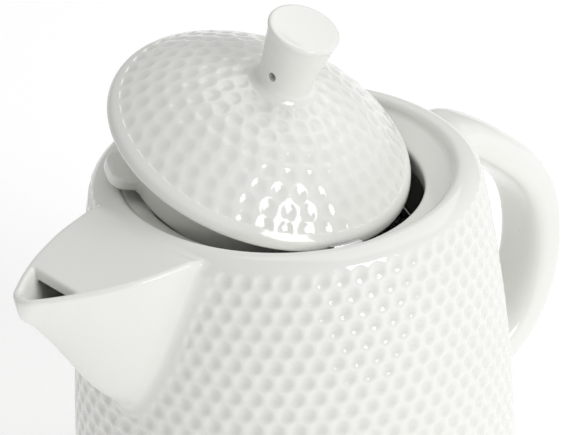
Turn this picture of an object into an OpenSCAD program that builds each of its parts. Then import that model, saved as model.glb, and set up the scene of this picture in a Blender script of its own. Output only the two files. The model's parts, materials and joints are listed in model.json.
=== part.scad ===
// Glazed ceramic teapot with a loose lid and a lift-out infuser basket.
// Millimetres. Origin at the centre of the base, on the table; +Z up,
// spout toward -X, handle toward +X. The lid is shown resting ajar.

/* [Pot] */
// height of the rim above the table
pot_height = 119; // [115:0.5:125]
// radius of the wall where the rim rounding starts
rim_radius = 52; // [51.5:0.1:52.5]
// outward swell of the wall over the first 100 mm
wall_swell = 18.6; // [17:0.1:20]
// wall thickness
wall_thickness = 4.6; // [4:0.1:5.2]
// radius of the mouth at the inner edge of the ledge
mouth_radius = 36.1; // [35.9:0.1:36.6]
// width of the gap in the ledge that lets the lid lug through
notch_width = 15; // [14:0.5:18]

/* [Spout] */
// distance of the lip from the pot axis
spout_reach = 89; // [86:0.5:90]
// wall thickness of the spout
spout_wall = 3.2; // [2.6:0.1:3.8]
// diameter of the strainer holes behind the spout
strainer_hole = 5.5; // [4:0.5:6.5]

/* [Handle] */
// width of the handle section
handle_width = 18; // [16:0.5:20]
// thickness of the handle section
handle_thickness = 11.5; // [10:0.5:12.5]

/* [Lid] */
// radius of the lid at its edge
lid_radius = 41.4; // [40.8:0.1:41.6]
// rise of the dome above the edge band
dome_rise = 16.4; // [15:0.1:17.5]
// tilt of the lid as it rests ajar, degrees
lid_tilt = 22.4; // [22:0.1:22.8]
// outer radius of the skirt at its lower edge
skirt_radius = 32.5; // [32:0.1:33]
// length of the locating lug beyond the skirt
lug_reach = 7.2; // [6:0.1:8]
// radius of the knob at the top
knob_radius = 9.6; // [9:0.1:10.2]
// diameter of the steam hole in the knob
steam_hole = 2.2; // [1.6:0.1:3]

/* [Infuser] */
// outer radius of the basket wall
basket_radius = 34; // [33:0.1:34.2]
// depth of the basket below its top band
basket_depth = 75; // [60:1:80]
// sheet thickness of the band and hooks
sheet = 0.6; // [0.5:0.05:0.7]

/* [Hidden] */
$fn = 96;
white = "#eef0ea";
steel = "#b9bcbe";

rim = pot_height;
round_r = 6.7;                 // rounding of the rim's outer shoulder
seat_edge = 43.4;              // foot of the rim's inner wall
ledge_under = 11.4;            // underside of the ledge, below the rim
cavity_top = 12.4;
floor_z = 5.6;                 // inside floor above the table
base_z = 1.6;                  // underside of the wall, on the unglazed pad
corner_r = 7;
inner_corner = 5;
rim_split = 16;                // the rim ring ends this far below the rim
foot_outer = 51;

// outer radius of the wall, d below the rim
function wall_r(d) = let (s = (d - round_r) / 100)
    rim_radius + wall_swell * s - 10.4 * s * s;

function arc(cx, cz, r, a0, a1, n) =
    [for (i = [0:n]) let (a = a0 + (a1 - a0) * i / n) [cx + r * cos(a), cz + r * sin(a)]];

low_r = wall_r(rim - base_z - corner_r);
rim_line = concat(
    arc(rim_radius - round_r, rim - round_r, round_r, 90, 0, 8),
    [[wall_r(12), rim - 12], [wall_r(rim_split), rim - rim_split]]);
floor_corner_r = low_r - corner_r + sqrt(pow(corner_r, 2) - pow(base_z + corner_r - floor_z, 2));
corner_line = arc(low_r - corner_r, base_z + corner_r, corner_r, 0, -90, 14);
wall_line = concat(
    [for (d = [rim_split:6:rim - base_z - corner_r - 2]) [wall_r(d), rim - d]],
    [for (p = corner_line) if (p[1] > floor_z + 0.2) p]);
foot_line = concat([[floor_corner_r, floor_z]],
    [for (p = corner_line) if (p[1] < floor_z - 0.2) p]);
outer_line = concat(rim_line, wall_line, foot_line);

ledge_line = [
    [seat_edge + 1.8, rim], [seat_edge + 1, rim - 0.45], [seat_edge + 0.4, rim - 1.2],
    [seat_edge, rim - 2], [seat_edge - 0.6, rim - 2.6],
    [seat_edge - 2.4, rim - 3.5], [seat_edge - 4.4, rim - 4.5],
    [mouth_radius + 1.2, rim - 5.4], [mouth_radius + 0.3, rim - 6],
    [mouth_radius, rim - 6.7], [mouth_radius, rim - ledge_under]];

inner_low = low_r - wall_thickness - inner_corner;
inner_line = concat(
    [for (d = [rim_split:8:rim - floor_z - 8]) [wall_r(d) - wall_thickness, rim - d]],
    arc(inner_low, floor_z + inner_corner, inner_corner, 0, -90, 6));

module outer_solid(grow = 0)
    rotate_extrude() polygon(concat([[0, rim + grow]], [for (p = outer_line) [p[0] + grow, p[1]]],
        [[0, base_z]]));

module pot_rim() {
    color(white) difference() {
        rotate_extrude()
            polygon(concat(rim_line, [[wall_r(rim_split) - wall_thickness, rim - rim_split],
                [mouth_radius + 10.4, rim - cavity_top]],
                [for (i = [len(ledge_line) - 1:-1:0]) ledge_line[i]]));
        // gap in the ledge for the lug
        rotate([0, 0, notch_angle])
            translate([mouth_radius - 4, -notch_width / 2, rim - cavity_top - 1])
                cube([seat_edge - mouth_radius + 3.4, notch_width, cavity_top + 1 - 1.9]);
    }
}

module pot_wall() {
    color(white) difference() {
        rotate_extrude()
            polygon(concat(wall_line, [[floor_corner_r, floor_z]],
                [for (i = [len(inner_line) - 1:-1:0]) inner_line[i]]));
        // strainer behind the spout
        for (row = strainer_rows)
            for (k = [0:row[1] - 1])
                translate([0, (k - (row[1] - 1) / 2) * strainer_pitch, rim - row[0]])
                    rotate([0, -90, 0]) cylinder(h = 70, d = strainer_hole, $fn = 32);
    }
}

module pot_floor()
    color(white) rotate_extrude()
        polygon(concat(foot_line, [[0, base_z], [0, floor_z]]));
notch_angle = 109;
strainer_pitch = 8;
strainer_rows = [[19, 3], [26, 2], [33, 1]];

// unglazed pad the pot stands on
module base_foot()
    color("#d8d2c4") rotate_extrude() polygon([[0, base_z], [0, 0],
        [foot_outer - 0.9, 0], [foot_outer, 0.9], [foot_outer, base_z]]);

// spout stations: distance from the axis, half width, depth of the keel, fullness of the sides
spout_line = [
    [48, 20.4, 53, 0.47], [54, 19.4, 50, 0.48], [58, 18.6, 47.5, 0.5], [62, 17.6, 44, 0.53],
    [66, 16.2, 39.6, 0.57], [70, 14.6, 34.2, 0.62], [74, 12.8, 28, 0.68], [78, 10.6, 21.6, 0.74],
    [82, 8.1, 15.8, 0.8], [85, 5.9, 12, 0.8], [87.4, 3.9, 9.7, 0.8], [89, 1.9, 8, 0.8]];
function spout_top(u) = 0.6 + (u - 48) * 0.055;
side_steps = 12;
function section(u, hw, keel, full, top) = [
    for (i = [side_steps:-1:-side_steps])
        let (s = sin(90 * (1 - abs(i) / side_steps)))
        [-u, sign(i) * hw * pow(max(0, 1 - s), full), rim - top - (keel - top) * s]];
function stretch(u) = 48 + (u - 48) * (spout_reach - 48) / 41;

module loft(rows) {
    m = len(rows[0]);
    n = len(rows);
    polyhedron(
        points = [for (row = rows) for (p = row) p],
        faces = concat(
            [[for (i = [0:m - 1]) i]],
            [for (j = [0:n - 2]) for (i = [0:m - 1]) for (f = [0, 1])
                let (a = j * m + i, b = j * m + (i + 1) % m)
                f == 0 ? [b, a, a + m] : [b, a + m, b + m]],
            [[for (i = [m - 1:-1:0]) (n - 1) * m + i]]));
}

module spout() {
    color(white) difference() {
        loft([for (q = spout_line)
            section(stretch(q[0]), q[1], q[2], q[3], spout_top(q[0]))]);
        outer_solid();
        loft([for (q = spout_line) if (q[0] < 86)
            section(stretch(q[0]), q[1] - spout_wall, q[2] - spout_wall * 1.35, q[3],
                spout_top(q[0]) + min(4, 3 + q[1] * 0.06))]);
        // mouth: open behind the lip, closed by the bridge toward the pot
        translate([0, 0, rim - 9]) linear_extrude(10)
            polygon([[-stretch(77), -8.6], [-stretch(77), 8.6], [-stretch(86.2), 1.4],
                [-stretch(86.2), -1.4]]);
    }
}

handle_line = [
    [49, -13], [54, -12.6], [59, -13], [64, -15.2], [69, -18.6], [73.5, -22.3], [78, -26.2],
    [82.6, -30.8], [86.4, -35.6], [89.3, -41], [91.2, -47], [92.1, -53], [92.1, -59.4],
    [91, -66], [88.8, -72.2], [85.6, -77.8], [81.2, -82.6], [75.8, -86.2], [69.6, -88.4],
    [63, -89.2], [54, -89]];
handle_sides = 20;
function unit(v) = v / norm(v);
function along(i) = unit(handle_line[min(i + 1, len(handle_line) - 1)] - handle_line[max(i - 1, 0)]);
function soft(c) = sign(c) * pow(abs(c), 0.66);

module handle() {
    color(white) difference() {
        loft([for (i = [0:len(handle_line) - 1]) [
            for (k = [0:handle_sides - 1])
                let (a = 360 * k / handle_sides, t = along(i),
                    off = handle_thickness / 2 * soft(sin(a)))
                [handle_line[i][0] - t[1] * off, handle_width / 2 * soft(cos(a)),
                    rim + handle_line[i][1] + t[0] * off]]]);
        outer_solid();
    }
}

// the lid's own frame: its edge plane through the origin, knob toward +Z
lid_place = [-2.242, 7.044, 6.258];
lean_angle = -72.52;
module on_lid() {
    translate([lid_place[0], lid_place[1], rim + lid_place[2]])
        rotate([0, 0, lean_angle]) rotate([0, lid_tilt, 0]) rotate([0, 0, -lean_angle])
            children();
}

edge_drop = 1.4;
dome_foot = lid_radius - 3;
knob_base = 19;
knob_height = 38.1;
skirt_drop = 15;
skirt_wall = 3.4;
skirt_top = 33.6;
function dome_z(r) = 3.6 + dome_rise * (1 - pow(r / dome_foot, 2));
knob_foot = 9;

module lid_dome() {
    color(white) on_lid() rotate_extrude() polygon(concat(
        [[3, dome_z(3) - 4.4], [3, dome_z(3)]],
        [for (r = [6, 9, 13, 17, 21, 25, 29, 33, 36]) [r, dome_z(r)]],
        [[dome_foot, 3.6], [lid_radius - 1.9, 2.65], [lid_radius - 1, 1.8],
            [lid_radius - 0.35, 0.9], [lid_radius, -0.3], [lid_radius - 0.3, -0.95],
            [lid_radius - 1.2, -edge_drop], [lid_radius - 2.6, -edge_drop],
            [lid_radius - 3.6, -0.7], [skirt_top + 0.8, -0.4],
            [skirt_top - skirt_wall, -0.4]],
        [for (r = [28, 24, 20, 15, 10, 6]) [r, 0.6 + 15.2 * (1 - pow(r / 30.4, 2))]]));
}

module lid_skirt()
    color(white) on_lid() rotate_extrude() polygon([
        [skirt_top - skirt_wall, -0.4], [skirt_top + 0.8, -0.4], [skirt_top, -1.6],
        [skirt_radius, 0.7 - skirt_drop], [skirt_radius - 0.3, 0.2 - skirt_drop],
        [skirt_radius - 0.9, -skirt_drop], [skirt_radius - 2.2, -skirt_drop],
        [skirt_radius - skirt_wall, 1.2 - skirt_drop]]);

lug_angle = 158;
lug_width = 11.4;
lug_height = 4.4;
lug_lift = 0.6;                // underside of the lug above the skirt's lower edge
skirt_taper = (skirt_top - skirt_radius) / (skirt_drop - 2.3);
module lid_lug() {
    color(white) on_lid() rotate([0, 0, lug_angle]) difference() {
        translate([0, 0, lug_lift - skirt_drop]) hull() {
            translate([skirt_radius - 1, -lug_width / 2 - 0.4, 0])
                cube([1, lug_width + 0.8, lug_height + 0.6]);
            for (s = [-1, 1]) translate([skirt_radius + lug_reach - 4.2, s * 1.6, 0]) {
                cylinder(r = 3.2, h = lug_height, $fn = 32);
                translate([0, 0, 0.9]) cylinder(r = 4.1, h = lug_height - 1.8, $fn = 32);
            }
        }
        translate([0, 0, -skirt_drop - 1]) cylinder(r1 = skirt_radius - 1.7 * skirt_taper,
            r2 = skirt_radius + 12.3 * skirt_taper, h = 14);
    }
}

steam_height = 24.6;
steam_angle = 191;
module lid_knob() {
    color(white) on_lid() difference() {
        rotate_extrude() polygon([
            [0, dome_z(0)], [3, dome_z(3)], [6, dome_z(6)], [knob_foot, dome_z(knob_foot)],
            [8.2, 19.3],
            [7.6, 20.4], [7.35, 22.5], [7.6, 26], [8.2, 30], [8.9, 34],
            [knob_radius - 0.2, knob_height - 1.6], [knob_radius, knob_height - 0.8],
            [knob_radius - 0.25, knob_height - 0.25], [knob_radius - 0.9, knob_height],
            [knob_radius - 3, knob_height - 0.2], [0, knob_height - 0.5]]);
        cylinder(r = 3, h = 29, $fn = 48);
        rotate([0, 0, steam_angle]) translate([0, 0, steam_height]) rotate([0, 90, 0])
            cylinder(h = 14, d = steam_hole, $fn = 32);
    }
}

band_top = 21;
band_depth = 6;
hook_angle = 72;
hook_width = 9;
mesh_top = band_top + 1.2;
mesh_end = band_top + basket_depth;

module tube(r, t, z0, z1)
    translate([0, 0, z0]) difference() {
        cylinder(r = r, h = z1 - z0);
        translate([0, 0, -1]) cylinder(r = r - t, h = z1 - z0 + 2);
    }

module infuser_band()
    color(steel) rotate_extrude() polygon(concat(
        [[basket_radius, rim - band_top - band_depth], [basket_radius + sheet, rim - band_top - band_depth]],
        [[basket_radius + sheet, rim - band_top - 0.7]],
        arc(basket_radius - 0.1, rim - band_top - 0.7, 0.7, 0, 180, 8),
        [[basket_radius - 0.8, rim - band_top - 1.2], [basket_radius, rim - band_top - 1.2]]));

module infuser_wall()
    color(steel) tube(basket_radius, 0.4, rim - mesh_end, rim - mesh_top);

module infuser_base()
    color(steel) translate([0, 0, rim - mesh_end])
        cylinder(r = basket_radius - 0.4, h = 0.4);

module infuser_base_band()
    color(steel) rotate_extrude() polygon([
        [basket_radius, rim - mesh_end + 5], [basket_radius, rim - mesh_end],
        [basket_radius - 4, rim - mesh_end], [basket_radius - 4, rim - mesh_end - sheet],
        [basket_radius + sheet - 0.4, rim - mesh_end - sheet],
        [basket_radius + sheet, rim - mesh_end - sheet + 0.4],
        [basket_radius + sheet, rim - mesh_end + 5]]);

module infuser_seam()
    color(steel) intersection() {
        tube(basket_radius + 0.4, 0.4, rim - mesh_end + 5, rim - band_top - band_depth);
        rotate([0, 0, 20]) translate([basket_radius - 3, -2.5, rim - mesh_end])
            cube([6, 5, basket_depth]);
    }

hook_r = basket_radius + sheet;
module infuser_hook(angle) {
    color(steel) rotate([0, 0, angle]) intersection() {
        rotate_extrude() polygon([
            [hook_r, rim - band_top - band_depth], [hook_r + sheet, rim - band_top - band_depth],
            [hook_r + sheet, rim - 5.7], [mouth_radius + 0.2, rim - 5.5],
            [mouth_radius + 0.9, rim - 5.35], [mouth_radius + 2.9, rim - 4.25],
            [mouth_radius + 2.6, rim - 3.7],
            [mouth_radius + 0.7, rim - 4.7], [hook_r + 0.3, rim - 5], [hook_r, rim - 5.3]]);
        translate([basket_radius - 4, -hook_width / 2, rim - band_top - band_depth - 1])
            cube([14, hook_width, band_depth + band_top]);
    }
}
module infuser_hook_back() infuser_hook(hook_angle);
module infuser_hook_front() infuser_hook(hook_angle + 180);

pot_rim();
pot_wall();
pot_floor();
base_foot();
spout();
handle();
lid_dome();
lid_skirt();
lid_lug();
lid_knob();
infuser_band();
infuser_wall();
infuser_base();
infuser_base_band();
infuser_seam();
infuser_hook_back();
infuser_hook_front();
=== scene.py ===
"""Glazed teapot with a loose lid and a basket infuser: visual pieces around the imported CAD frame.

Shapes are worked out in millimetres and scaled to metres when a mesh is made. Lathe-turned forms are
dense revolved grids, and the spout, the handle and the lug are implicit surfaces that blend into what
they grow from, so that their roots get real fillets.
"""
import json
import math
import bpy
import numpy as np
from mathutils import Matrix, Vector

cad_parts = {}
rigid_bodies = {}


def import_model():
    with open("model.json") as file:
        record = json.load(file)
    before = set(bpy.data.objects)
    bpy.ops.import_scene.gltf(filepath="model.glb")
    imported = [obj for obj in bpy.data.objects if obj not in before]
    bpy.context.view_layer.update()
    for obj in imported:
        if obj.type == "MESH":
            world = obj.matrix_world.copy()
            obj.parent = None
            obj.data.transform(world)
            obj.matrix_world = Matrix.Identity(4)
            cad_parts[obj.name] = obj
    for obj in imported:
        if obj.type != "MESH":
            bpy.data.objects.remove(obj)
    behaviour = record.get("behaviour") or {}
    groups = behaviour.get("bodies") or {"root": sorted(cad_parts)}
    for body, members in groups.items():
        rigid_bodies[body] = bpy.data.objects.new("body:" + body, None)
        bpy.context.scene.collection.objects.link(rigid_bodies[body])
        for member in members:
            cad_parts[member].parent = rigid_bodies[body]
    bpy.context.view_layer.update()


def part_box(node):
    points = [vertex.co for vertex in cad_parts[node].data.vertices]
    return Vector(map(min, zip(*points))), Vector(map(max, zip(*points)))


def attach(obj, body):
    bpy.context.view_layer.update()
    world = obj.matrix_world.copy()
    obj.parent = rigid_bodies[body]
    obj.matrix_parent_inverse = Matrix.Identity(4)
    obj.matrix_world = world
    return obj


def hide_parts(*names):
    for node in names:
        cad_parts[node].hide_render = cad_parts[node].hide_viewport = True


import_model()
MM = 0.001


def low(node):
    return np.array(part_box(node)[0]) / MM


def high(node):
    return np.array(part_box(node)[1]) / MM


RIM = high("pot_rim")[2]
FLOOR_Z = high("pot_floor")[2]
BASE_Z = low("pot_floor")[2]

# ---------------------------------------------------------------- general numeric helpers


def smoothstep(a, b, x):
    t = np.clip((x - a) / (b - a), 0, 1)
    return t * t * (3 - 2 * t)


def smooth_min(a, b, k):
    h = np.clip(0.5 + 0.5 * (b - a) / k, 0, 1)
    return b + (a - b) * h - k * h * (1 - h)


def smooth_max(a, b, k):
    return -smooth_min(-a, -b, k)


def spline(points):
    """A natural cubic through (x, y) points, carried on straight past its ends."""
    x, y = np.array(points, float).T
    n = len(x)
    gap = np.diff(x)
    a = np.eye(n)
    b = np.zeros(n)
    for i in range(1, n - 1):
        a[i, i - 1:i + 2] = gap[i - 1], 2 * (gap[i - 1] + gap[i]), gap[i]
        b[i] = 6 * ((y[i + 1] - y[i]) / gap[i] - (y[i] - y[i - 1]) / gap[i - 1])
    m = np.linalg.solve(a, b)
    end_slope = ((y[1] - y[0]) / gap[0] - gap[0] * m[1] / 6,
                 (y[-1] - y[-2]) / gap[-1] + gap[-1] * m[-2] / 6)

    def value(q):
        q = np.asarray(q, float)
        c = np.clip(q, x[0], x[-1])
        i = np.clip(np.searchsorted(x, c) - 1, 0, n - 2)
        h, p, r = gap[i], x[i + 1] - c, c - x[i]
        inner = (m[i] * p**3 + m[i + 1] * r**3) / (6 * h) \
            + (y[i] / h - m[i] * h / 6) * p + (y[i + 1] / h - m[i + 1] * h / 6) * r
        return inner + np.where(q < x[0], end_slope[0], end_slope[1]) * (q - c)

    return value


def smooth_path(points, step):
    """Points of a smooth curve through the given points, about step apart."""
    points = np.array(points, float)
    run = np.concatenate([[0], np.cumsum(np.linalg.norm(np.diff(points, axis=0), axis=1))])
    along = np.linspace(0, run[-1], max(2, int(run[-1] / step) + 1))
    return np.stack([spline(list(zip(run, c)))(along) for c in points.T], 1)


def arc(cx, cz, radius, start, end, n):
    a = np.radians(np.linspace(start, end, n))
    return [(cx + radius * math.cos(t), cz + radius * math.sin(t)) for t in a]


# ---------------------------------------------------------------- meshes


def finish_piece(name, mesh, body, material, nodes, sharp=40):
    mesh.validate()
    mesh.shade_smooth()
    mesh.set_sharp_from_angle(angle=math.radians(sharp))
    piece = bpy.data.objects.new(name, mesh)
    bpy.context.scene.collection.objects.link(piece)
    mesh.materials.append(material)
    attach(piece, body)
    if nodes:
        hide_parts(*nodes)
    return piece


def mesh_from(name, points, faces, dimple_shade_depth=None):
    """A mesh from points in millimetres. The last argument, how deep each point lies in a dimple, 0 to 1, is
    kept as the attribute that places painted shade in the dimples.
    """
    mesh = bpy.data.meshes.new(name)
    mesh.from_pydata((np.asarray(points) * MM).tolist(), [], [list(f) for f in faces])
    if dimple_shade_depth is not None:
        attribute = mesh.attributes.new("dimple_shade", "FLOAT", "POINT")
        attribute.data.foreach_set("value", np.asarray(dimple_shade_depth, np.float32).ravel())
    mesh.update()
    return mesh


def lathe_faces(rows, columns, closed, start_pole, end_pole):
    """Quads of a revolved grid, wound to face outward when the profile runs top to bottom outside."""
    i = np.arange(rows if closed else rows - 1)[:, None]
    j = np.arange(columns)[None, :]
    below, right = (i + 1) % rows, (j + 1) % columns
    at = lambda r, c: (r * columns + c + 0 * i + 0 * j).ravel()
    faces = np.stack([at(i, j), at(below, j), at(below, right), at(i, right)], 1).tolist()
    ring = list(range(columns))
    if start_pole is not None:
        faces += [[start_pole, c, (c + 1) % columns] for c in ring]
    if end_pole is not None:
        last = (rows - 1) * columns
        faces += [[end_pole, last + (c + 1) % columns, last + c] for c in ring]
    return faces


def revolve(profile, columns, closed=False, move=None):
    """Points and faces of a solid turned about Z. An open profile runs from axis to axis.

    move(radius, height, normal_r, normal_z, angle) may shift the grid: it gives new radii, heights and
    how deep each point lies in a dimple, which places painted shade there."""
    profile = np.array(profile, float)
    poles = [None, None]
    if not closed:
        poles = [profile[0, 1], profile[-1, 1]]
        profile = profile[1:-1]
    following, previous = np.roll(profile, -1, 0), np.roll(profile, 1, 0)
    if not closed:
        following[-1], previous[0] = profile[-1], profile[0]
    slope = following - previous
    slope /= np.maximum(np.linalg.norm(slope, axis=1, keepdims=True), 1e-9)
    angle = np.arange(columns) * 2 * math.pi / columns
    shape = (len(profile), columns)
    r = np.broadcast_to(profile[:, :1], shape)
    z = np.broadcast_to(profile[:, 1:], shape)
    dimple_shade_depth = np.zeros(shape)
    if move:
        r, z, dimple_shade_depth = move(r, z, -slope[:, 1:], slope[:, :1], angle[None, :])
    points = np.stack([r * np.cos(angle), r * np.sin(angle), z], -1).reshape(-1, 3)
    dimple_shade_depth = np.asarray(dimple_shade_depth).reshape(-1)
    start = end = None
    if poles[0] is not None:
        start, end = len(points), len(points) + 1
        points = np.vstack([points, [[0, 0, poles[0]], [0, 0, poles[1]]]])
        dimple_shade_depth = np.append(dimple_shade_depth, [0, 0])
    return points, lathe_faces(len(profile), columns, closed, start, end), dimple_shade_depth


def dense(points, step):
    """The profile's straight stretches cut to steps, with its corners left where they are."""
    points = np.array(points, float)
    out = [points[0]]
    for a, b in zip(points[:-1], points[1:]):
        n = max(1, int(math.ceil(np.linalg.norm(b - a) / step)))
        out += [a + (b - a) * (k + 1) / n for k in range(n)]
    return np.array(out)


def turn_about_z(points, angle):
    c, s = math.cos(angle), math.sin(angle)
    x, y, z = points.T
    return np.stack([x * c - y * s, x * s + y * c, z], 1)


def gradient(f, p, h=0.01):
    g = np.empty_like(p)
    for axis in range(3):
        e = np.zeros(3)
        e[axis] = h
        g[:, axis] = (f(*(p + e).T) - f(*(p - e).T)) / (2 * h)
    return g


def project(f, p, rounds):
    """Moves points onto the surface f = 0."""
    for _ in range(rounds):
        g = gradient(f, p)
        step = (f(*p.T) / np.maximum((g * g).sum(1), 1e-3))[:, None] * g
        length = np.linalg.norm(step, axis=1, keepdims=True)
        p = p - step * np.minimum(1, 0.5 / np.maximum(length, 1e-9))
    return p


def surface_net(f, corner, far, step):
    """A closed quad mesh of the solid f < 0 inside a box, with its points on the surface."""
    axes = [np.arange(a, b + step, step) for a, b in zip(corner, far)]
    grid = np.meshgrid(*axes, indexing="ij")
    value = f(*grid)
    inside = value < 0
    shape = np.array(inside.shape) - 1
    cell = lambda a, o: a[o[0]:o[0] + shape[0], o[1]:o[1] + shape[1], o[2]:o[2] + shape[2]]
    offsets = [(a, b, c) for a in (0, 1) for b in (0, 1) for c in (0, 1)]
    count = sum(cell(inside, o).astype(np.int8) for o in offsets)
    mixed = (count > 0) & (count < 8)
    index = np.full(mixed.shape, -1)
    index[mixed] = np.arange(mixed.sum())
    at = np.argwhere(mixed)
    corner_value = {o: value[tuple((at + o).T)] for o in offsets}
    total, crossings = np.zeros((len(at), 3)), np.zeros(len(at))
    for o in offsets:
        for axis in range(3):
            if o[axis]:
                continue
            q = tuple(1 if k == axis else o[k] for k in range(3))
            a, b = corner_value[o], corner_value[q]
            cut = (a < 0) != (b < 0)
            t = a / np.where(cut, a - b, 1)
            point = np.tile(np.array(o, float), (len(at), 1))
            point[:, axis] = t
            total[cut] += point[cut]
            crossings += cut
    points = np.array(corner) + (at + total / crossings[:, None]) * step
    faces = []
    for axis in range(3):
        u, v = [k for k in range(3) if k != axis]
        a = np.moveaxis(inside, (axis, u, v), (0, 1, 2))
        ids = np.moveaxis(index, (axis, u, v), (0, 1, 2))
        flip = axis == 1
        change = a[1:, 1:-1, 1:-1].astype(np.int8) - a[:-1, 1:-1, 1:-1]
        for sign in (-1, 1):
            i, j, k = np.nonzero(change == sign)
            quad = np.stack([ids[i, j, k], ids[i, j + 1, k], ids[i, j + 1, k + 1], ids[i, j, k + 1]], 1)
            faces.append(quad if (sign == -1) != flip else quad[:, ::-1])
    faces = np.vstack(faces)
    edges = np.vstack([faces[:, [0, 1]], faces[:, [1, 2]], faces[:, [2, 3]], faces[:, [3, 0]]])
    points = project(f, points, 4)
    for _ in range(3):
        nearby, n = np.zeros_like(points), np.zeros(len(points))
        np.add.at(nearby, edges[:, 0], points[edges[:, 1]])
        np.add.at(n, edges[:, 0], 1)
        points = project(f, points * 0.5 + 0.5 * nearby / n[:, None], 2)
    return points, faces.tolist()


def cut(piece, cutters):
    """Takes closed cutter meshes, in millimetres, out of a piece."""
    for points, faces in cutters:
        tool = bpy.data.objects.new("tool", mesh_from("tool", points, faces))
        bpy.context.scene.collection.objects.link(tool)
        tool.parent = piece.parent
        modifier = piece.modifiers.new("cut", "BOOLEAN")
        modifier.operation, modifier.solver, modifier.object = "DIFFERENCE", "MANIFOLD", tool
        bpy.context.view_layer.update()
        done = bpy.data.meshes.new_from_object(piece.evaluated_get(bpy.context.evaluated_depsgraph_get()))
        piece.modifiers.remove(modifier)
        bpy.data.objects.remove(tool)
        piece.data = done
    return piece


# ---------------------------------------------------------------- materials


def new_material(name):
    material = bpy.data.materials.new(name)
    material.use_nodes = True
    tree = material.node_tree
    shader = tree.nodes["Principled BSDF"]
    return material, tree, shader


def noise(tree, scale, detail=3.0, roughness=0.5):
    place = tree.nodes.new("ShaderNodeTexCoord")
    node = tree.nodes.new("ShaderNodeTexNoise")
    node.inputs["Scale"].default_value = scale
    node.inputs["Detail"].default_value = detail
    node.inputs["Roughness"].default_value = roughness
    tree.links.new(place.outputs["Object"], node.inputs["Vector"])
    return node.outputs["Fac"]


def ramp(tree, source, start, end, first, last):
    node = tree.nodes.new("ShaderNodeMapRange")
    node.interpolation_type = "SMOOTHSTEP"
    for socket, value in (("From Min", start), ("From Max", end), ("To Min", first), ("To Max", last)):
        node.inputs[socket].default_value = value
    tree.links.new(source, node.inputs["Value"])
    return node.outputs["Result"]


def mix(tree, factor, first, second):
    node = tree.nodes.new("ShaderNodeMix")
    node.data_type = "RGBA"
    for socket, value in ((0, factor), (6, first), (7, second)):
        if isinstance(value, bpy.types.NodeSocket):
            tree.links.new(value, node.inputs[socket])
        else:
            node.inputs[socket].default_value = value
    return node.outputs[2]


def bump(tree, shader, height, strength, distance):
    node = tree.nodes.new("ShaderNodeBump")
    node.inputs["Strength"].default_value = strength
    node.inputs["Distance"].default_value = distance
    tree.links.new(height, node.inputs["Height"])
    tree.links.new(node.outputs["Normal"], shader.inputs["Normal"])


def glaze_material():
    """White glazed ceramic with painted shade that makes it a little darker and greyer deeper in the dimples,
    and with faint clouding and specks.
    """
    material, tree, shader = new_material("white_glaze")
    dimple_shade = tree.nodes.new("ShaderNodeAttribute")
    dimple_shade.attribute_name = "dimple_shade"
    clouds = ramp(tree, noise(tree, 22), 0.3, 0.7, 0, 1)
    body = mix(tree, clouds, (0.832, 0.836, 0.796, 1), (0.850, 0.853, 0.817, 1))
    # painted shade: the colour darkens with how deep the point lies in a dimple
    dimple_shaded = mix(tree, dimple_shade.outputs["Fac"], body, (0.795, 0.801, 0.764, 1))
    specks = ramp(tree, noise(tree, 640, 1), 0.81, 0.85, 0, 0.35)
    colour = mix(tree, specks, dimple_shaded, (0.36, 0.33, 0.27, 1))
    tree.links.new(colour, shader.inputs["Base Color"])
    rough = ramp(tree, noise(tree, 60), 0.3, 0.7, 0.07, 0.10)
    tree.links.new(rough, shader.inputs["Roughness"])
    shader.inputs["IOR"].default_value = 1.55
    bump(tree, shader, noise(tree, 170, 2), 0.10, 0.0004)
    return material


def bisque_material():
    material, tree, shader = new_material("bisque")
    grain = noise(tree, 900, 5, 0.65)
    tree.links.new(mix(tree, ramp(tree, grain, 0.3, 0.7, 0, 1), (0.62, 0.58, 0.49, 1), (0.74, 0.70, 0.61, 1)),
                   shader.inputs["Base Color"])
    tree.links.new(ramp(tree, grain, 0.3, 0.7, 0.75, 0.92), shader.inputs["Roughness"])
    bump(tree, shader, grain, 0.35, 0.0003)
    return material


def steel_material(name, tone, smooth, rough):
    material, tree, shader = new_material(name)
    clouds = noise(tree, 90, 4)
    dark = tuple(c * 0.86 for c in tone) + (1,)
    colour = mix(tree, ramp(tree, clouds, 0.3, 0.7, 0, 1), dark, tone + (1,))
    tree.links.new(colour, shader.inputs["Base Color"])
    tree.links.new(ramp(tree, clouds, 0.25, 0.75, smooth, rough), shader.inputs["Roughness"])
    shader.inputs["Metallic"].default_value = 1
    bump(tree, shader, noise(tree, 1400, 2), 0.08, 0.0001)
    return material


GLAZE = glaze_material()
BISQUE = bisque_material()
STEEL = steel_material("stainless", (0.66, 0.67, 0.68), 0.18, 0.32)
MESH_STEEL = steel_material("steel_mesh", (0.58, 0.59, 0.60), 0.25, 0.40)

# ---------------------------------------------------------------- the pot's outline

SHOULDER = 6.7              # rounding of the rim's outer edge
LEAN = 10.5                 # slope of the wall below it, degrees
SHOULDER_CENTRE = 52 - SHOULDER
WALL_TOP = 51.99            # radius of the wall at the shoulder, a hair inside the CAD wall
WALL_START = SHOULDER * (1 - math.sin(math.radians(LEAN)))
WALL = 4.6
CORNER = 7
SINK = 0.75                 # past its fillet, a root's skin dips this far under the wall, dimples and all
INSIDE_RIM = 45.9           # nothing that grows from the pot reaches inside this radius


def wall_radius(depth):
    """Outer radius at a depth below the rim."""
    s = (np.asarray(depth, float) - SHOULDER) / 100
    return WALL_TOP + 18.6 * s - 10.4 * s * s + 0.12 * np.exp(-(np.asarray(depth) - WALL_START) / 8)


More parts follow.
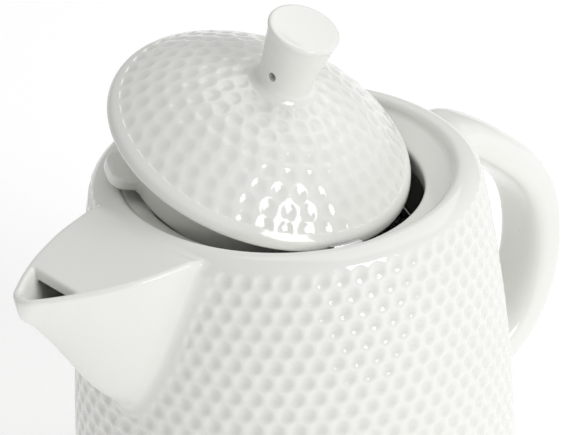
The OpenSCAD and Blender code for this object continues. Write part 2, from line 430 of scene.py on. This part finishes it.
def pot_distance(x, y, z):
    """About the distance outside the pot's outer wall and rim."""
    r, depth = np.hypot(x, y), RIM - z
    side = (r - wall_radius(np.maximum(depth, WALL_START))) * 0.985
    dr, dz = r - SHOULDER_CENTRE, SHOULDER - depth
    corner = np.hypot(np.maximum(dr, 0), np.maximum(dz, -1e3)) - SHOULDER
    top = z - RIM
    upper = np.where(dr > 0, corner, top)
    tilt = np.arctan2(dz, np.maximum(dr, 1e-6))
    rounded = ((depth < SHOULDER) & (tilt > math.radians(LEAN))) | (depth < WALL_START)
    return np.where(rounded, upper, side)


# ---------------------------------------------------------------- spout

SPOUT_TIP = -low("spout")[0]
STATIONS = [(48, 20.4, 53, .47), (54, 19.4, 50, .48), (58, 18.6, 47.5, .5), (62, 17.6, 44, .53),
            (66, 16.2, 39.6, .57), (70, 14.6, 34.2, .62), (74, 12.8, 28, .68), (78, 10.6, 21.6, .74),
            (82, 8.1, 15.8, .79), (85, 5.9, 12, .8), (87.4, 3.9, 9.7, .8), (89, 1.9, 8, .8)]
half_width = spline([(s[0], s[1]) for s in STATIONS])
keel_depth = spline([(s[0], s[2]) for s in STATIONS])
fullness = spline([(s[0], s[3]) for s in STATIONS])
MOUTH_BACK = 77.0
MOUTH_FRONT = 86.4
ROOF = 3.2
SPOUT_BLEND = 1.7
SPOUT_ROOT = 44             # the stations carry on unchanged inside this distance from the axis


def spout_top(u):
    return 0.6 + (u - 48) * 0.055 + 0.3 * np.maximum(0, 50 - u)**2 / 4


def v_section(y, depth, width, keel, fill, top):
    """About the distance outside a keel-shaped section, whose sides curve in to the keel."""
    width = np.maximum(width, 0.4)
    span = np.maximum(keel - top, 0.5)
    reach = np.maximum(np.abs(y), 1e-6) / width
    s = (depth - top) / span
    power = 1 / fill
    value = reach**power + s - 1
    slope_y = power * reach**(power - 1) / width
    slope_u = 0.55 / span + reach**power * power * 0.5 / width
    return value / np.sqrt(slope_y**2 + (1 / span)**2 + slope_u**2)


def spout_outside(x, y, z):
    u, depth = -x, RIM - z
    c = np.clip(u, SPOUT_ROOT, SPOUT_TIP)
    side = v_section(y, depth, half_width(c), keel_depth(c), fullness(c), spout_top(c))
    upper = (spout_top(c) - depth)
    solid = smooth_max(side, upper, 1.6)
    return smooth_max(solid, u - SPOUT_TIP, 2.0) + np.maximum(0, SPOUT_ROOT - u)


def spout_void(x, y, z):
    u, depth = -x, RIM - z
    c = np.clip(u, SPOUT_ROOT, MOUTH_FRONT)
    top = spout_top(c)
    inner = v_section(y, depth, half_width(c) - 2.9, keel_depth(c) - 4.2, fullness(c), top)
    inner = smooth_max(inner, u - MOUTH_FRONT, 1.0)
    opening = smooth_min(top + ROOF - depth, MOUTH_BACK - u, 0.9)
    return smooth_max(inner, opening, 0.7)


def blend_width(depth):
    return 1.3 + (SPOUT_BLEND - 1.3) * smoothstep(2, 10, depth)


def spout_shape(x, y, z):
    outer = spout_outside(x, y, z)
    pot = pot_distance(x, y, z)
    k = blend_width(RIM - z)
    sink = SINK * smoothstep(0, 1.4, outer - k + 0.3)
    joined = smooth_min(outer, pot + sink, k)
    shell = np.maximum(joined, -pot - 2.2)
    near = np.maximum(shell, outer - k - 1.6)
    near = np.maximum(near, INSIDE_RIM - np.hypot(x, y))
    return smooth_max(near, -spout_void(x, y, z), 1.1)


def build_spout():
    corner = (-SPOUT_TIP - 1, -26, RIM - 62)
    far = (-42, 26, RIM + 1.5)
    points, faces = surface_net(spout_shape, corner, far, 0.45)
    mesh = mesh_from("spout_glazed", points, faces)
    return finish_piece("spout_glazed", mesh, "pot", GLAZE, ["spout"], 50)


# ---------------------------------------------------------------- handle

HANDLE = [(49, -13), (54, -12.6), (59, -13), (64, -15.2), (69, -18.6), (73.5, -22.3), (78, -26.2),
          (82.6, -30.8), (86.4, -35.6), (89.3, -41), (91.2, -47), (92.1, -53), (92.1, -59.4),
          (91, -66), (88.8, -72.2), (85.6, -77.8), (81.2, -82.6), (75.8, -86.2), (69.6, -88.4),
          (63, -89.2), (54, -89)]
HANDLE_HALF = 5.6
HANDLE_WIDE = 9.0
HANDLE_POWER = 3.0
HANDLE_BLEND = 4.5
TABLE_STEP = 0.25
TABLE_X = (44, 104)
TABLE_Z = (-106, 4)


def path_table():
    """Distance to the handle's middle line, on a grid over the pot's middle plane."""
    path = smooth_path([(40, -13.5)] + HANDLE + [(44, -88.6)], 0.5)
    x = np.arange(*TABLE_X, TABLE_STEP)
    z = np.arange(*TABLE_Z, TABLE_STEP)
    gx, gz = np.meshgrid(x, z, indexing="ij")
    best = np.full(gx.shape, 1e9)
    for a, b in zip(path[:-1], path[1:]):
        d = b - a
        t = np.clip(((gx - a[0]) * d[0] + (gz - a[1]) * d[1]) / (d @ d), 0, 1)
        best = np.minimum(best, np.hypot(gx - a[0] - t * d[0], gz - a[1] - t * d[1]))
    return best


PATH_TABLE = path_table()


def path_distance(x, z):
    i = np.clip((x - TABLE_X[0]) / TABLE_STEP, 0, PATH_TABLE.shape[0] - 1.001)
    j = np.clip((z - TABLE_Z[0]) / TABLE_STEP, 0, PATH_TABLE.shape[1] - 1.001)
    a, b = i.astype(int), j.astype(int)
    p, q = i - a, j - b
    t = PATH_TABLE
    near = (t[a, b] * (1 - p) + t[a + 1, b] * p) * (1 - q) + (t[a, b + 1] * (1 - p) + t[a + 1, b + 1] * p) * q
    # the table starts at the pot's handle side, so the way back to it is added
    return near + np.maximum(0, TABLE_X[0] - x)


def handle_outside(x, y, z):
    a = path_distance(x, z - RIM) / HANDLE_HALF
    b = np.abs(y) / HANDLE_WIDE
    size = np.maximum((a**HANDLE_POWER + b**HANDLE_POWER)**(1 / HANDLE_POWER), 1e-3)
    steep = np.hypot((a / size)**(HANDLE_POWER - 1) / HANDLE_HALF,
                     (b / size)**(HANDLE_POWER - 1) / HANDLE_WIDE)
    return (size - 1) / np.maximum(steep, 0.05)


def handle_shape(x, y, z):
    outer = handle_outside(x, y, z)
    pot = pot_distance(x, y, z)
    blend = HANDLE_BLEND + 2 * smoothstep(12, 8, RIM - z)     # fuller just under the rim
    sink = SINK * smoothstep(0, 1.6, outer - blend + 1.2)
    joined = smooth_min(outer, pot + sink, blend)
    shell = np.maximum(joined, -pot - 2.2)
    near = np.maximum(shell, outer - blend - 0.6)
    return np.maximum(near, INSIDE_RIM - np.hypot(x, y))


def build_handle():
    reach = high("handle")[0]
    points, faces = surface_net(handle_shape, (45, -17, RIM - 105), (reach + 1, 17, RIM + 1.5),
                                0.5)
    mesh = mesh_from("handle_glazed", points, faces)
    return finish_piece("handle_glazed", mesh, "pot", GLAZE, ["handle"], 50)


# ---------------------------------------------------------------- dimples

WALL_DIMPLE = (2.2, 0.72)   # radius and depth
LID_DIMPLE = (2.1, 0.34)
DIMPLE_EDGE = 0.30          # how much of the bowl's rim is rounded over
WALL_COUNT = 66             # dimples around the wall
WALL_FIRST = 5.15           # depth of the first row below the rim
WALL_PITCH = 4.42
WALL_ROWS = 24
WALL_PHASE = math.radians(3.2)
RINGS = [(38.4, 44, 189.0), (34.7, 40, 184.9), (31.0, 36, 183.7), (27.1, 32, 181.5), (23.3, 28, 186.6),
         (19.2, 24, 177.0), (15.1, 19, 174.2), (11.0, 14, 180.0)]


def dent(distance, radius):
    """How deep a point lies in a round bowl with a softened rim, 0 to 1."""
    bowl = 1 - (distance / radius)**2
    return smooth_max(bowl, np.zeros_like(bowl), DIMPLE_EDGE)


def wall_dents(r, z, angle):
    depth = RIM - z
    total = np.zeros(np.broadcast(r, angle).shape)
    row = (depth - WALL_FIRST) / WALL_PITCH
    for k in (np.floor(row), np.floor(row) + 1):
        live = (k >= 0) & (k < WALL_ROWS)
        step = 2 * math.pi / WALL_COUNT
        turn = (angle - WALL_PHASE) / step - 0.5 * (k % 2)
        across = (turn - np.round(turn)) * step * r
        along = (row - k) * WALL_PITCH * 1.01
        total = np.maximum(total, np.where(live, dent(np.hypot(across, along), WALL_DIMPLE[0]), 0))
    return total


def lid_dents(r, angle):
    total = np.zeros(np.broadcast(r, angle).shape)
    for radius, count, phase in RINGS:
        step = 2 * math.pi / count
        turn = (angle - math.radians(phase)) / step
        across = (turn - np.round(turn)) * step * radius
        total = np.maximum(total, dent(np.hypot(across, r - radius), LID_DIMPLE[0]))
    return total


# ---------------------------------------------------------------- pot body

SEAM = 4.2                  # the rim piece and the wall piece meet this far below the rim


def shoulder_profile(start_angle, end_angle, n):
    return arc(SHOULDER_CENTRE, RIM - SHOULDER, SHOULDER, start_angle, end_angle, n)


SEAM_ANGLE = math.degrees(math.asin((SHOULDER - SEAM + 1.6) / SHOULDER))


def wall_profile():
    low_r = float(wall_radius(RIM - BASE_Z - CORNER))
    step = WALL_PITCH / 8
    outer = shoulder_profile(SEAM_ANGLE, LEAN, 8)
    depths = np.arange(WALL_START + step, RIM - BASE_Z - CORNER - 1, step)
    outer += [(float(wall_radius(d)), RIM - d) for d in depths]
    outer += arc(low_r - CORNER, BASE_Z + CORNER, CORNER, 0, -90, 12)
    under = [(40, BASE_Z), (40, BASE_Z + 1.2), (low_r - CORNER, BASE_Z + 1.5)]
    back = [(float(wall_radius(d)) - 2.4, RIM - d) for d in (108, 100, 85, 70, 55, 40, 25, 12)]
    return outer + under + back + [(SHOULDER_CENTRE + 4.2, RIM - SHOULDER + 1)]


def dimple_wall(r, z, nr, nz, angle):
    x, y = r * np.cos(angle), r * np.sin(angle)
    clear = smoothstep(2.2, 3.4, spout_outside(x, y, z)) * smoothstep(3.6, 5.2, handle_outside(x, y, z))
    outside = r > wall_radius(np.maximum(RIM - z, WALL_START)) - 1.5
    depth = wall_dents(r, z, angle) * clear * outside
    return r - nr * WALL_DIMPLE[1] * depth, z - nz * WALL_DIMPLE[1] * depth, depth


STRAINER_ROWS = ((19, 3), (26, 2), (33, 1))      # depth below the rim, and holes in the row
STRAINER_PITCH = 8
STRAINER_RADIUS = 2.75


def strainer_cutters():
    tools = []
    bore = [(0, 70), (STRAINER_RADIUS, 70), (STRAINER_RADIUS, 30), (0, 30)]
    for drop, count in STRAINER_ROWS:
        for k in range(count):
            y = (k - (count - 1) / 2) * STRAINER_PITCH
            points, faces, _ = revolve(bore, 32)
            points = points[:, [2, 1, 0]] * (-1, 1, 1) + (0, y, RIM - drop)
            tools.append((points, faces))
    return tools


def build_wall():
    columns = WALL_COUNT * 10
    # the third result is how deep each point lies in a dimple, where the colour gets painted shade
    points, faces, dimple_shade = revolve(wall_profile(), columns, closed=True, move=dimple_wall)
    mesh = mesh_from("wall_dimpled", points, faces, dimple_shade)
    piece = finish_piece("wall_dimpled", mesh, "pot", GLAZE, ["pot_wall", "pot_floor"])
    return cut(piece, strainer_cutters())


MOUTH = 36.1
NOTCH_ANGLE = math.radians(109)
NOTCH_HALF = 7.5
NOTCH_BACK = 42.8


def rim_profile():
    # the rim's inner edge turns down to the crease, then the ledge slopes in to the mouth
    lip = smooth_path([(45.3, 0), (44.8, -.2), (44.2, -.7), (43.75, -1.35), (43.4, -2.0), (42.9, -2.55),
                       (42.1, -2.98), (41, -3.5), (39, -4.47), (37.6, -5.15), (36.8, -5.6), (36.3, -6.1),
                       (36.1, -6.8), (36.1, -8), (36.1, -10.6)], 0.45)
    under = smooth_path([(36.1, -10.6), (36.2, -11.2), (36.7, -11.6), (38, -11.8), (41, -12), (44, -12.2),
                         (46.4, -12.7), (48, -14), (48.9, -16)], 0.9)
    inner = [(float(wall_radius(d)) - WALL, -d) for d in range(19, 105, 5)]
    low_r = float(wall_radius(RIM - BASE_Z - CORNER)) - WALL
    corner = [(r, z - RIM) for r, z in arc(low_r - 5, FLOOR_Z + 5, 5, 0, -90, 8)]
    bed = FLOOR_Z - RIM
    floor = [(40, bed), (30, bed), (20, bed), (10, bed), (0, bed)]
    line = [tuple(p) for p in lip] + [tuple(p) for p in under[1:]] + inner + corner + floor
    back = [(0, bed - 2.2), (20, bed - 2.2), (low_r - 5, bed - 2.2), (low_r + 1.6, bed + 4)]
    back += [(float(wall_radius(d)) - 2.3, -d) for d in range(105, 12, -8)]
    back += [(49.5, -9), (49.4, -6.4)]
    outer = [(r, z - RIM) for r, z in shoulder_profile(SEAM_ANGLE, 90, 10)]
    order = back + outer + line[1:]
    order = [(r, RIM + z) for r, z in order]
    return order


def notch_ledge(r, z, nr, nz, angle):
    """Pushes the ledge back to the rim's foot across the gap for the lid's lug."""
    turn = (angle - NOTCH_ANGLE + math.pi) % (2 * math.pi) - math.pi
    across = np.abs(turn) * NOTCH_BACK
    amount = 1 - smoothstep(NOTCH_HALF - 0.5, NOTCH_HALF + 0.3, across)
    depth = RIM - z
    live = (depth > 2.2) & (depth < 13.4) & (r < NOTCH_BACK + 2) & (r > MOUTH - 2)
    back = np.maximum(r, NOTCH_BACK)
    return np.where(live, r + (back - r) * amount, r), z, np.zeros_like(r + angle)


def build_rim():
    points, faces, _ = revolve(rim_profile(), 480, move=notch_ledge)
    mesh = mesh_from("rim_and_inside", points, [f[::-1] for f in faces])
    piece = finish_piece("rim_and_inside", mesh, "pot", GLAZE, ["pot_rim"])
    return cut(piece, strainer_cutters())


def build_foot():
    outer = high("base_foot")[0]
    profile = [(0, BASE_Z - 0.05), (outer - 0.2, BASE_Z - 0.05)] + arc(outer - 0.8, 0.8, 0.8, 20, -90, 6)
    profile += [(46.5, 0)] + [(46, 0.25), (45.2, 0.35), (44.4, 0.25), (43.9, 0)] + [(20, 0), (0, 0)]
    points, faces, _ = revolve(dense(profile, 2.5), 240)
    mesh = mesh_from("foot_unglazed", points, faces)
    return finish_piece("foot_unglazed", mesh, "pot", BISQUE, ["base_foot"])


# ---------------------------------------------------------------- lid

LID_PLACE = (Matrix.Translation(Vector((-2.242, 7.044, RIM + 6.258)))
             @ Matrix.Rotation(math.radians(-72.52), 4, "Z")
             @ Matrix.Rotation(math.radians(22.4), 4, "Y")
             @ Matrix.Rotation(math.radians(72.52), 4, "Z"))
LID_TURN = np.array(LID_PLACE)[:3, :3]
LID_AT = np.array(LID_PLACE)[:3, 3]
LID_RADIUS = 41.4
DOME_FOOT = 38.4


def on_lid(points):
    """Points in the lid's own frame, knob upward, placed on the resting lid."""
    return np.asarray(points) @ LID_TURN.T + LID_AT


def dome_z(r):
    return 3.6 + 16.4 * (1 - (np.asarray(r, float) / DOME_FOOT)**2)


def dome_profile():
    step = 0.45
    top = [(float(r), float(dome_z(r))) for r in np.arange(0, DOME_FOOT - 0.8, step)]
    edge = smooth_path([(DOME_FOOT - 0.9, float(dome_z(DOME_FOOT - 0.9))), (DOME_FOOT, 3.6),
                        (DOME_FOOT + 1.1, 2.7), (DOME_FOOT + 1.95, 1.97), (DOME_FOOT + 2.5, 1.3),
                        (DOME_FOOT + 2.82, 0.5), (LID_RADIUS - 0.03, -0.35), (LID_RADIUS - 0.2, -0.9),
                        (LID_RADIUS - 0.7, -1.22), (LID_RADIUS - 1.4, -1.36), (LID_RADIUS - 2.2, -1.4)], 0.22)
    under = smooth_path([(LID_RADIUS - 2.2, -1.4), (LID_RADIUS - 3.4, -1.15), (LID_RADIUS - 4.6, -0.75),
                         (34.6, -0.4)], 0.5)[1:]
    inner = [(30.3, -0.4), (30, 0.2)]
    inner += [(float(r), 0.6 + 15.2 * (1 - (r / 30.4)**2)) for r in range(28, 0, -2)] + [(0, 15.8)]
    return top + [tuple(p) for p in edge] + [tuple(p) for p in under] + inner


def dimple_dome(r, z, nr, nz, angle):
    outside = z > np.minimum(dome_z(np.minimum(r, DOME_FOOT)) - 0.5, 20)
    depth = lid_dents(r, angle) * outside * smoothstep(8.8, 10.2, r)
    depth = depth * (1 - smoothstep(38.6, 40.4, r))
    return r - nr * LID_DIMPLE[1] * depth, z - nz * LID_DIMPLE[1] * depth, depth


def build_dome():
    # the third result is how deep each point lies in a dimple, where the colour gets painted shade
    points, faces, dimple_shade = revolve(dome_profile(), 576, move=dimple_dome)
    mesh = mesh_from("lid_dimpled", on_lid(points), faces, dimple_shade)
    return finish_piece("lid_dimpled", mesh, "lid", GLAZE, ["lid_dome"])


def build_skirt():
    outer = [(34.2, -0.6), (33.8, -1.0), (33.6, -1.8), (33.4, -4), (33.14, -7), (32.87, -10), (32.6, -13.0),
             (32.5, -14.2), (32.38, -14.7), (32.05, -14.93), (31.5, -15), (30.6, -15), (30.1, -14.9),
             (29.55, -14.5),
             (29.25, -13.8), (29.2, -12.6), (29.5, -8), (29.9, -4), (30.2, -0.6)]
    points, faces, _ = revolve([tuple(p) for p in smooth_path(outer, 0.35)], 360, closed=True)
    mesh = mesh_from("skirt_glazed", on_lid(points), faces)
    return finish_piece("skirt_glazed", mesh, "lid", GLAZE, ["lid_skirt"])


LUG_ANGLE = math.radians(158)
LUG_REACH = 32.5 + 7.1
LUG_HALF = 5.7
LUG_CORNER = 4.1
LUG_HEIGHT = 4.4
LUG_LOW = -14.4
LUG_EDGE = 1.25


def skirt_outside(r, z):
    return r - (33.6 + (1.6 + z) * 0.0866)


def lug_shape(x, y, z):
    """The lug in the lid's frame turned so that it points along +X."""
    middle, half = (30 + LUG_REACH) / 2, (LUG_REACH - 30) / 2
    dx = np.abs(x - middle) - half + LUG_CORNER
    dy = np.abs(y) - LUG_HALF + LUG_CORNER - 0.02 * np.maximum(0, 40 - x)
    plan = np.hypot(np.maximum(dx, 0), np.maximum(dy, 0)) + np.minimum(np.maximum(dx, dy), 0) - LUG_CORNER
    a = plan + LUG_EDGE
    b = np.abs(z - LUG_LOW - LUG_HEIGHT / 2) - LUG_HEIGHT / 2 + LUG_EDGE
    block = np.hypot(np.maximum(a, 0), np.maximum(b, 0)) + np.minimum(np.maximum(a, b), 0) - LUG_EDGE
    wall = skirt_outside(np.hypot(x, y), z)
    sink = 0.1 * smoothstep(0, 1.2, block - 1.8)
    joined = smooth_min(block, wall + sink, 1.8)
    shell = np.maximum(joined, -wall - 1.5)
    return np.maximum(np.maximum(shell, block - 3), -14.7 - z)


def build_lug():
    points, faces = surface_net(lug_shape, (27, -12, -16), (42, 12, -4), 0.35)
    mesh = mesh_from("lug_glazed", on_lid(turn_about_z(points, LUG_ANGLE)), faces)
    return finish_piece("lug_glazed", mesh, "lid", GLAZE, ["lid_lug"], 60)


STEAM_ANGLE = math.radians(191)
STEAM_Z = 24.6


def build_knob():
    foot = [(9.6, float(dome_z(9.6)) - 0.02), (9.0, float(dome_z(9.0)) + 0.08), (8.3, 19.75), (7.75, 20.5)]
    stem = [(7.45, 21.6), (7.4, 23), (7.6, 26), (8.2, 30), (8.85, 34)]
    head = [(9.35, 36.4), (9.55, 37.15), (9.48, 37.58), (9.15, 37.9), (8.6, 38.0), (7.6, 37.93)]
    side = smooth_path(foot + stem + head, 0.3)
    top = [(6, 37.8), (4, 37.68), (2, 37.61), (0, 37.59)]
    profile = [(0, 37.59)] + top[-2::-1] + [tuple(p) for p in side[::-1]]
    profile += [(8, 17.6), (5, 17.6), (3, 18), (3, 28.5), (2.6, 29), (0, 29)]
    points, faces, _ = revolve(profile, 144)
    mesh = mesh_from("knob_glazed", on_lid(points), faces)
    piece = finish_piece("knob_glazed", mesh, "lid", GLAZE, ["lid_knob"])
    bore = [(0, 10), (1.75, 10), (1.5, 7.55), (1.22, 7.3), (1.1, 7.0), (1.1, 1), (0, 1)]
    hole, hole_faces, _ = revolve(bore, 32)
    hole = turn_about_z(hole[:, [2, 1, 0]] * (1, 1, -1), STEAM_ANGLE) + (0, 0, STEAM_Z)
    return cut(piece, [(on_lid(hole), hole_faces)])


# ---------------------------------------------------------------- infuser

BASKET = high("infuser_wall")[0]
MESH_TOP = high("infuser_wall")[2]
MESH_LOW = low("infuser_wall")[2]
WIRE = 0.22
WIRE_PITCH = 1.5


def wires(paths, radius, sides=4, closed=False):
    """One mesh of thin round wires along paths, each an array of points, capped at its ends."""
    points, faces = [], []
    base = 0
    for path in paths:
        n = len(path)
        if closed:
            tangent = np.roll(path, -1, 0) - np.roll(path, 1, 0)
        else:
            tangent = np.gradient(path, axis=0)
        tangent /= np.linalg.norm(tangent, axis=1, keepdims=True)
        guide = np.tile([0, 0, 1.0], (n, 1))
        guide[np.abs(tangent[:, 2]) > 0.9] = (1, 0, 0)
        first = np.cross(tangent, guide)
        first /= np.linalg.norm(first, axis=1, keepdims=True)
        second = np.cross(tangent, first)
        for k in range(sides):
            a = 2 * math.pi * (k + 0.5) / sides
            points.append(path + radius * (math.cos(a) * first + math.sin(a) * second))
        rows = np.arange(n if closed else n - 1)
        ahead = (rows + 1) % n
        for k in range(sides):
            m = (k + 1) % sides
            faces.append(np.stack([base + k * n + rows, base + k * n + ahead,
                                   base + m * n + ahead, base + m * n + rows], 1))
        if not closed:
            faces.append(np.array([[base + k * n for k in range(sides)]]))
            faces.append(np.array([[base + k * n + n - 1 for k in range(sides)][::-1]]))
        base += n * sides
    return np.vstack(points), np.vstack(faces).tolist()


def build_basket_wall():
    pitch = WIRE_PITCH * 1
    middle = BASKET - 0.3
    around = 2 * round(math.pi * middle / pitch)
    up = int((MESH_TOP - MESH_LOW) / pitch)
    heights = MESH_LOW + 0.3 + np.arange(up + 1) * (MESH_TOP - MESH_LOW - 0.6) / up
    sway = WIRE * 0.9
    paths = []
    for k in range(around):
        a = 2 * math.pi * k / around
        r = middle + sway * np.where((np.arange(up + 1) + k) % 2, 1, -1)
        paths.append(np.stack([r * math.cos(a), r * math.sin(a), heights], 1))
    points, faces = wires(paths, WIRE)
    hoops = []
    a = 2 * math.pi * np.arange(around) / around
    for k, z in enumerate(heights[1:-1], 1):
        r = middle - sway * np.where((np.arange(around) + k) % 2, 1, -1)
        hoops.append(np.stack([r * np.cos(a), r * np.sin(a), np.full(around, z)], 1))
    ring_points, ring_faces = wires(hoops, WIRE, closed=True)
    faces += [[i + len(points) for i in f] for f in ring_faces]
    mesh = mesh_from("basket_mesh", np.vstack([points, ring_points]), faces)
    return finish_piece("basket_mesh", mesh, "infuser", MESH_STEEL, ["infuser_wall"], 80)


def build_basket_base():
    pitch = WIRE_PITCH * 1
    z = (low("infuser_base")[2] + high("infuser_base")[2]) / 2
    reach = BASKET - 1.2
    n = int(reach / pitch)
    paths = []
    for swap in (False, True):
        for k in range(-n, n + 1):
            across = k * pitch
            half = math.sqrt(max(reach**2 - across**2, 1))
            m = int(half / pitch)
            t = np.arange(-m, m + 1) * pitch
            if len(t) < 3:
                continue
            lift = 0.15 * np.where((np.arange(-m, m + 1) + k + swap) % 2, 1, -1)
            line = np.stack([t, np.full(len(t), across), z + lift], 1)
            paths.append(line[:, [1, 0, 2]] if swap else line)
    points, faces = wires(paths, WIRE * 0.7)
    mesh = mesh_from("basket_mesh_base", points, faces)
    return finish_piece("basket_mesh_base", mesh, "infuser", MESH_STEEL, ["infuser_base"], 80)


def build_basket_bands():
    top = high("infuser_band")[2]
    foot = low("infuser_band")[2]
    r = BASKET
    rolled = arc(r - 0.1, top - 0.7, 0.7, 0, 200, 12)
    profile = [(r + 0.6, foot + 0.1), (r + 0.6, top - 0.7)] + rolled[1:]
    profile += [(r - 0.3, top - 1.4), (r, top - 1.5), (r, foot), (r + 0.5, foot)]
    points, faces, _ = revolve(dense(profile[::-1], 0.8), 240, closed=True)
    mesh = mesh_from("basket_band", points, faces)
    band = finish_piece("basket_band", mesh, "infuser", STEEL, ["infuser_band"])
    low_z, high_z = low("infuser_base_band")[2], high("infuser_base_band")[2]
    ring = [(r + 0.05, high_z), (r + 0.5, high_z), (r + 0.6, high_z - 0.1), (r + 0.6, low_z + 0.5),
            (r + 0.4, low_z + 0.12), (r, low_z), (r - 3.9, low_z), (r - 4, low_z + 0.15),
            (r - 4, low_z + 0.55), (r - 0.3, low_z + 0.62), (r, low_z + 0.9)]
    points, faces, _ = revolve(dense(ring, 0.8), 240, closed=True)
    mesh = mesh_from("basket_foot_band", points, faces)
    foot_band = finish_piece("basket_foot_band", mesh, "infuser", STEEL, ["infuser_base_band"])
    return band, foot_band


def sheet_strip(name, line, angle, width, thickness, node):
    """A bent strip of sheet: line is (radius, height) along it, thickness outward from the line."""
    line = smooth_path(line, 0.4)
    tangent = np.gradient(line, axis=0)
    tangent /= np.linalg.norm(tangent, axis=1, keepdims=True)
    side = np.stack([tangent[:, 1], -tangent[:, 0]], 1) * thickness / 2
    n = 13
    across = np.linspace(-1, 1, n)
    grids = []
    for sign in (1, -1):
        edge = line + sign * side
        shrink = 1 - 0.12 * smoothstep(0.8, 1, np.linspace(0, 1, len(line)))[:, None]
        y = across[None, :] * width / 2 * shrink
        r = edge[:, :1] + 0 * y
        grids.append(np.stack([np.sqrt(np.maximum(r**2 - y**2, 1)), y, edge[:, 1:] + 0 * y], -1))
    rows = len(line)
    points = np.concatenate([g.reshape(-1, 3) for g in grids])
    i, j = np.meshgrid(np.arange(rows - 1), np.arange(n - 1), indexing="ij")
    quad = np.stack([i * n + j, i * n + j + 1, (i + 1) * n + j + 1, (i + 1) * n + j], -1).reshape(-1, 4)
    size = rows * n
    faces = quad[:, ::-1].tolist() + (quad + size).tolist()
    border = [k for k in range(n)] + [k * n + n - 1 for k in range(1, rows)] \
        + [(rows - 1) * n + k for k in range(n - 2, -1, -1)] + [k * n for k in range(rows - 2, 0, -1)]
    faces += [[a, b, b + size, a + size] for a, b in zip(border, border[1:] + border[:1])]
    mesh = mesh_from(name, turn_about_z(points, angle), faces)
    return finish_piece(name, mesh, "infuser", STEEL, [node])


def build_hooks_and_seam():
    top = high("infuser_band")[2]
    r = BASKET + 0.9
    line = [(r, top - 5.8), (r, top + 4), (r, RIM - 6.8), (r + 0.35, RIM - 5.6), (r + 1.2, RIM - 5.2),
            (r + 2.6, RIM - 4.55), (r + 3.6, RIM - 4.0)]
    sheet_strip("hook_back", line, math.radians(72), 8.8, 0.5, "infuser_hook_back")
    sheet_strip("hook_front", line, math.radians(252), 8.8, 0.5, "infuser_hook_front")
    z0, z1 = low("infuser_seam")[2], high("infuser_seam")[2]
    seam = [(BASKET + 0.2, z0), (BASKET + 0.2, (z0 + z1) / 2), (BASKET + 0.2, z1)]
    sheet_strip("seam_strip", seam, math.radians(20), 5, 0.36, "infuser_seam")


# ---------------------------------------------------------------- stage, light, camera


def build_stage():
    points, faces, _ = revolve([(0, 0), (200, 0), (1000, 0), (8000, 0), (8000, -20), (0, -20)], 96)
    mesh = mesh_from("floor", points - (0, 0, 0.05), [f[::-1] for f in faces])
    material, tree, shader = new_material("floor_paper")
    clouds = ramp(tree, noise(tree, 1.5), 0.3, 0.7, 0, 1)
    colour = mix(tree, clouds, (0.93, 0.93, 0.93, 1), (0.95, 0.95, 0.95, 1))
    tree.links.new(colour, shader.inputs["Base Color"])
    shader.inputs["Roughness"].default_value = 0.9
    shader.inputs["Emission Color"].default_value = (1, 1, 1, 1)
    shader.inputs["Emission Strength"].default_value = 0.27
    mesh.materials.append(material)
    floor = bpy.data.objects.new("floor", mesh)
    bpy.context.scene.collection.objects.link(floor)


def area_light(name, azimuth, elevation, distance, size, power, target=(0, 0, 0.1)):
    light = bpy.data.lights.new(name, "AREA")
    light.shape = "RECTANGLE"
    light.size, light.size_y = size
    light.energy = power
    lamp = bpy.data.objects.new(name, light)
    bpy.context.scene.collection.objects.link(lamp)
    a, e = math.radians(azimuth), math.radians(elevation)
    place = Vector((math.cos(a) * math.cos(e), math.sin(a) * math.cos(e), math.sin(e))) * distance
    lamp.location = place + Vector(target)
    lamp.rotation_euler = place.to_track_quat("Z", "Y").to_euler()
    return lamp


def build_lights():
    world = bpy.data.worlds.new("studio")
    bpy.context.scene.world = world
    world.use_nodes = True
    world.node_tree.nodes["Background"].inputs["Color"].default_value = (1, 1, 1, 1)
    world.node_tree.nodes["Background"].inputs["Strength"].default_value = 0.44
    area_light("window", -86, 29, 1.3, (0.52, 0.48), 5.8)
    area_light("overhead", 0, 60, 1.6, (1.5, 1.5), 9)
    bpy.context.scene.view_settings.view_transform = "Standard"
    bpy.context.scene.view_settings.look = "None"


def build_camera():
    camera = bpy.data.cameras.new("camera")
    camera.sensor_width = 36
    camera.lens = 192.85
    camera.clip_start, camera.clip_end = 0.05, 50
    stand = bpy.data.objects.new("camera", camera)
    bpy.context.scene.collection.objects.link(stand)
    # the shot was framed in line with the pot and then turned by its quarter view
    turn = Matrix.Rotation(math.radians(-41), 4, "Z")
    right = Vector((0.9993, -0.0178, -0.0320)).normalized()
    forward = Vector((-0.0004, 0.8681, -0.4964)).normalized()
    up = right.cross(forward).normalized()
    axes = Matrix((right, up, -forward)).transposed().to_4x4()
    stand.matrix_world = turn @ Matrix.Translation(Vector((0, -0.70116, 0.38520 + RIM * MM))) @ axes
    bpy.context.scene.camera = stand


build_camera()
build_stage()
build_lights()
build_wall()
build_rim()
build_foot()
build_spout()
build_handle()
build_dome()
build_skirt()
build_lug()
build_knob()
build_basket_wall()
build_basket_base()
build_basket_bands()
build_hooks_and_seam()
